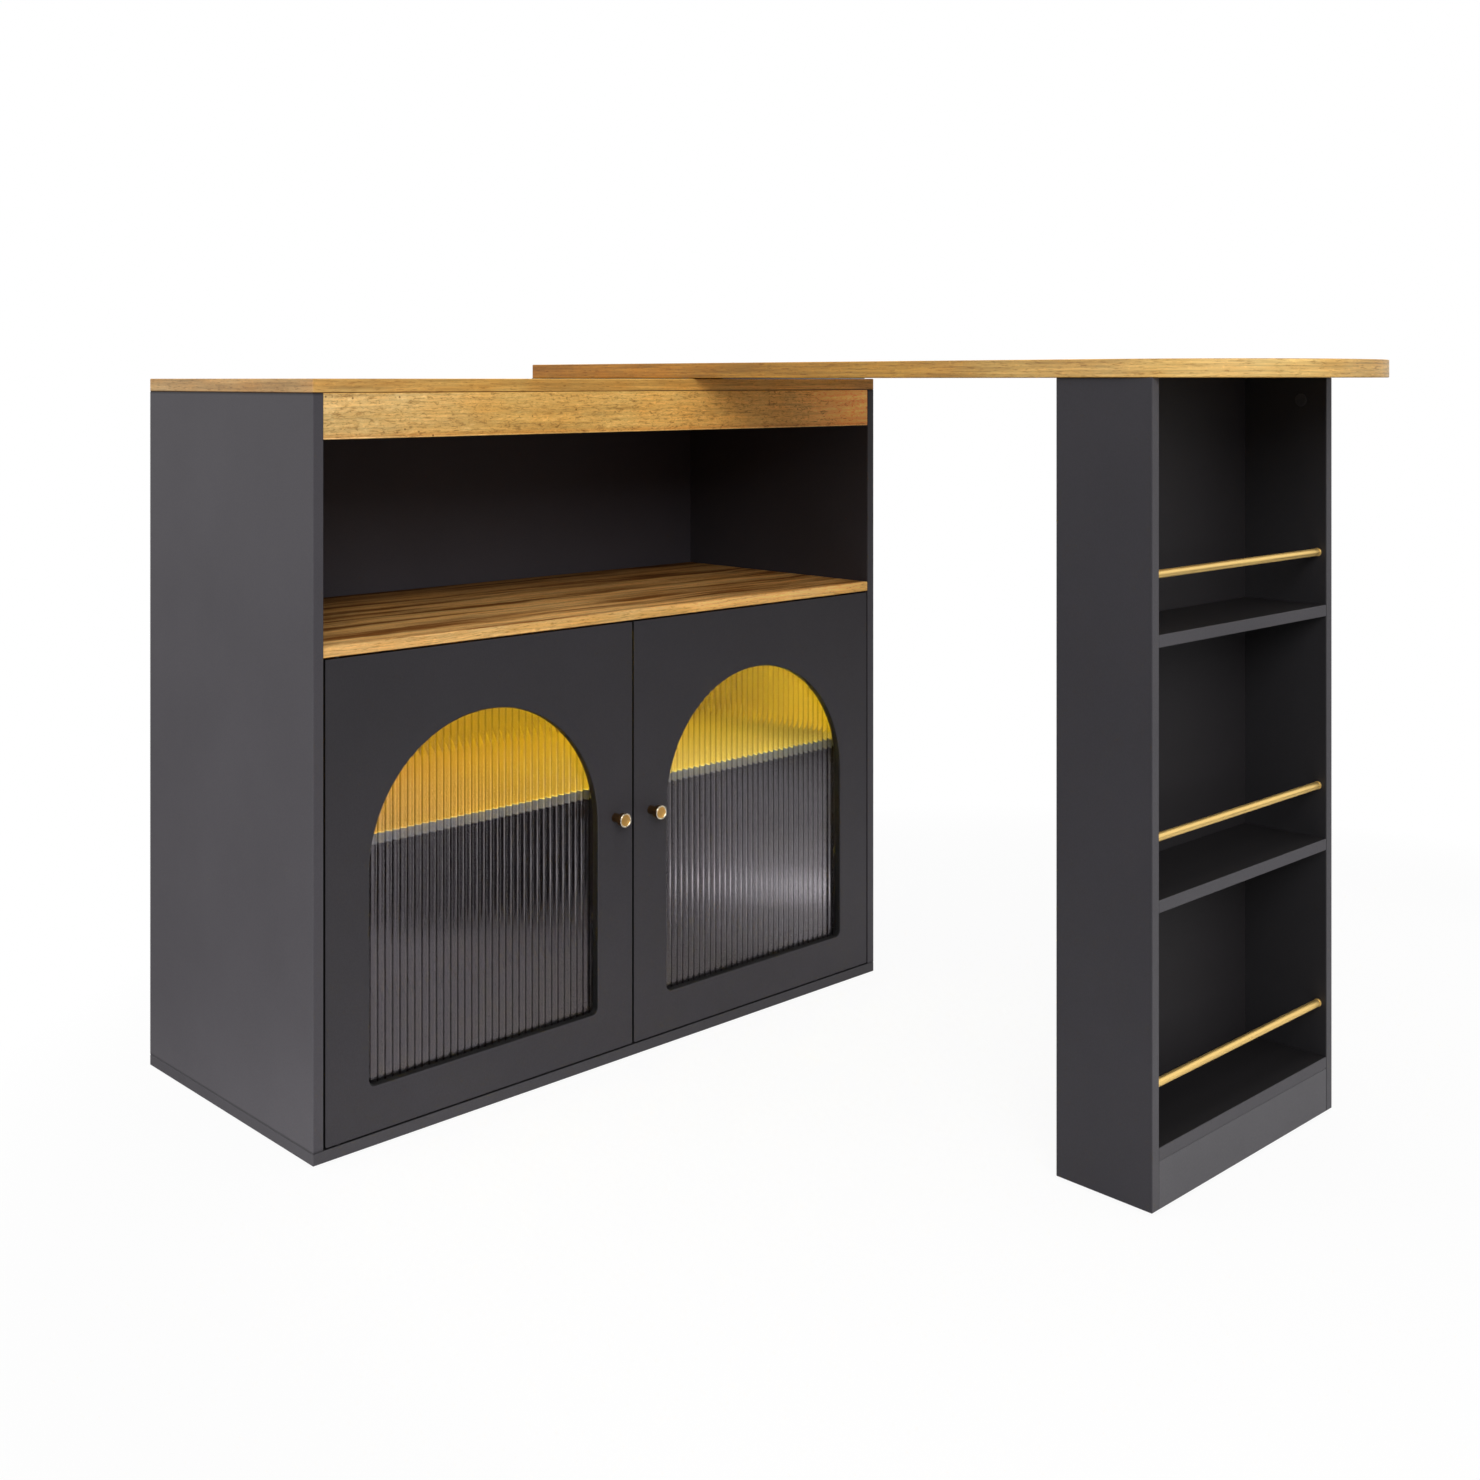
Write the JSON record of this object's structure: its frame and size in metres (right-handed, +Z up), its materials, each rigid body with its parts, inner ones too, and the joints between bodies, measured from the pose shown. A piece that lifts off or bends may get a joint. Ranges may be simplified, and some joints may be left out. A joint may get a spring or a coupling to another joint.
{
  "type": "bar table with storage cabinet",
  "caption": "Bar table: a cabinet with arched reeded glass doors and an open bay, under a long bar that turns on it and ends on a narrow shelf column.",
  "frame": {"origin": "middle of the table's footprint, at floor level", "axes": "+X to the right along the cabinet's front, +Y from the front to the back, +Z up; the bar is swung straight out to the front"},
  "size_m": [1.076, 1.3878, 1],
  "materials": {
    "charcoal_board": "matte dark grey laminate with a faint grain",
    "back_board": "matte dark grey",
    "oak_board": "satin golden oak laminate",
    "gold_metal": "satin yellow gold",
    "reeded_glass": "clear pane with upright reeds",
    "steel": "zinc plated",
    "felt": "pressed felt",
    "dark_plastic": "moulded nylon",
    "aluminium_channel": "anodised",
    "light_diffuser": "milky amber"
  },
  "bodies": {
    "cabinet": {"cabinet_base_panel": "charcoal_board", "cabinet_left_side": "charcoal_board", "cabinet_right_side": "charcoal_board", "cabinet_top_panel": "oak_board", "front_apron": "oak_board", "middle_shelf": "oak_board", "cabinet_back_panel": "back_board", "inner_shelf": "charcoal_board", "inner_shelf_pins": "steel", "cabinet_glides": "felt", "light_bar_housing": "aluminium_channel", "light_bar_diffuser": "light_diffuser", "magnetic_catch": "dark_plastic", "swivel_bush": "dark_plastic"},
    "left_door": {"left_door_frame": "charcoal_board", "left_door_glass": "reeded_glass", "left_glass_clips": "steel", "left_knob": "gold_metal", "left_pivot_pins": "steel", "left_strike_plate": "steel"},
    "right_door": {"right_door_frame": "charcoal_board", "right_door_glass": "reeded_glass", "right_glass_clips": "steel", "right_knob": "gold_metal", "right_pivot_pins": "steel", "right_strike_plate": "steel"},
    "bar": {"bar_top": "oak_board", "swivel_flange": "steel", "swivel_nut": "steel", "bar_glide_pads": "felt", "column_left_side": "charcoal_board", "column_right_side": "charcoal_board", "column_back_panel": "back_board", "column_upper_shelf": "charcoal_board", "column_lower_shelf": "charcoal_board", "column_bottom_shelf": "charcoal_board", "column_kick_board": "charcoal_board", "upper_rail": "gold_metal", "middle_rail": "gold_metal", "lower_rail": "gold_metal", "left_roller_bracket": "steel", "left_roller_axle": "steel", "right_roller_bracket": "steel", "right_roller_axle": "steel"},
    "left_roller": {"left_roller": "dark_plastic"},
    "right_roller": {"right_roller": "dark_plastic"}
  },
  "joints": [
    {"name": "bar_swivel", "type": "hinge", "parent": "cabinet", "child": "bar", "pos_m": [0.318, 0.47392, 0.978], "axis": [0, 0, 1], "range_deg": [-90, 90]},
    {"name": "left_door_hinge", "type": "hinge", "parent": "cabinet", "child": "left_door", "pos_m": [-0.5006, 0.25342, 0.323], "axis": [0, 0, -1], "range_deg": [0, 95]},
    {"name": "right_door_hinge", "type": "hinge", "parent": "cabinet", "child": "right_door", "pos_m": [0.4616, 0.25342, 0.323], "axis": [0, 0, 1], "range_deg": [0, 95]},
    {"name": "left_roller_spin", "type": "hinge", "parent": "bar", "child": "left_roller", "pos_m": [0.193, -0.47442, 0.025], "axis": [0.1307, 0.9914, 0], "continuous": true},
    {"name": "right_roller_spin", "type": "hinge", "parent": "bar", "child": "right_roller", "pos_m": [0.443, -0.47442, 0.025], "axis": [-0.1307, 0.9914, 0], "continuous": true}
  ]
}
